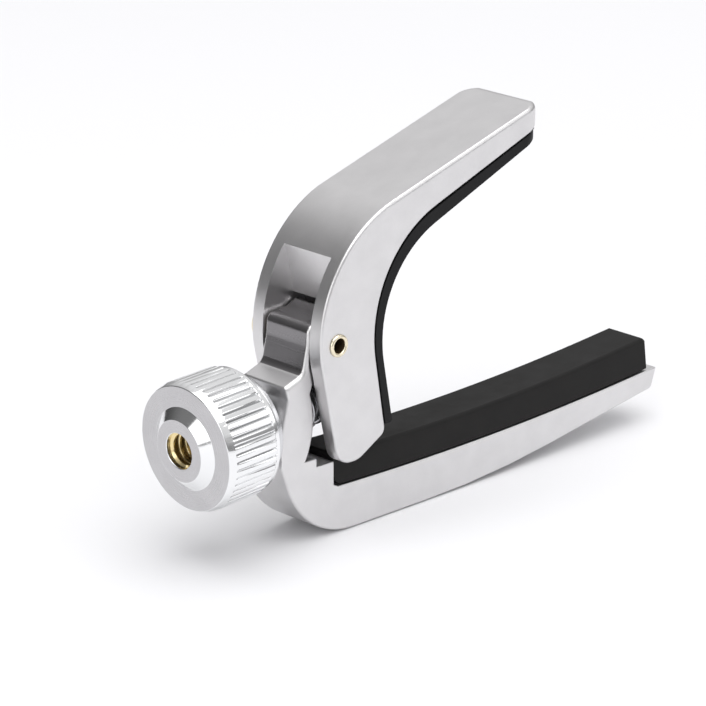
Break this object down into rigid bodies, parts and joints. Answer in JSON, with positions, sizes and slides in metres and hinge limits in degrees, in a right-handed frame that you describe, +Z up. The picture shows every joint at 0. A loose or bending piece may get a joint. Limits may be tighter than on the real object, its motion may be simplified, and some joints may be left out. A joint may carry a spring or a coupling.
{
  "type": "guitar capo",
  "caption": "Screw-drawn guitar capo: a straight padded string bar with an upright spine, a curved padded jaw arm on a rivet, and a fluted thumb nut on a draw bolt.",
  "frame": {"origin": "middle of the bounding box, at the height of the string bar's flat underside", "axes": "+X along the string bar towards its tip and the open jaws, +Z up through the jaws, +Y along the pivot rivet towards its domed head"},
  "size_m": [0.0835, 0.0166, 0.05],
  "materials": {
    "frame": "fine bead-blasted and satin, brushed on the spine's front",
    "arm": "fine bead-blasted satin",
    "string_pad": "matt black rubber",
    "neck_pad": "matt black rubber",
    "knob": "bright plated flutes with a satin turned face",
    "insert": "cut thread, bright",
    "rivet": "pale brass, rolled end",
    "bush": "plain bronze",
    "pin": "ground",
    "bolt": "zinc plated",
    "swivel_washer": "zinc plated",
    "knob_washer": "polished",
    "friction_ring": "black nylon",
    "spring_washer": "zinc plated",
    "spring": "bright spring wire"
  },
  "bodies": {
    "frame": {"frame": "frame", "string_pad": "string_pad", "pivot_bush": "bush"},
    "arm": {"arm": "arm", "neck_pad": "neck_pad", "pivot_rivet": "rivet", "bolt_pin": "pin"},
    "swivel": {"swivel_washer": "swivel_washer", "knob_washer": "knob_washer", "spring_washer": "spring_washer", "opening_spring": "spring"},
    "knob": {"knob": "knob", "knob_insert": "insert", "friction_ring": "friction_ring"},
    "bolt": {"draw_bolt": "bolt"}
  },
  "joints": [
    {"name": "knob_spin", "type": "hinge", "parent": "swivel", "child": "knob", "pos_m": [-0.03372, 0, 0.01629], "axis": [0.9986, 0, 0.0523], "range_deg": [0, 1367], "deforming": ["opening_spring"]},
    {"name": "arm_swing", "type": "hinge", "parent": "frame", "child": "arm", "pos_m": [-0.02067, 0, 0.026], "axis": [0, 1, 0], "range_deg": [0, 24.1]},
    {"name": "screw_tilt", "type": "hinge", "parent": "frame", "child": "swivel", "pos_m": [-0.03372, 0, 0.01629], "axis": [0, 1, 0], "range_deg": [0, 4.6]},
    {"name": "bolt_draw", "type": "slide", "parent": "swivel", "child": "bolt", "axis": [-0.9986, 0, -0.0523], "range_m": [0, 0.00405]}
  ],
  "couplings": [
    {"joint": "arm_swing", "follows": "knob_spin", "ratio": 0.017556},
    {"joint": "screw_tilt", "follows": "knob_spin", "ratio": 0.0032799},
    {"joint": "bolt_draw", "follows": "knob_spin", "m_per_rad": 0.0001687}
  ]
}
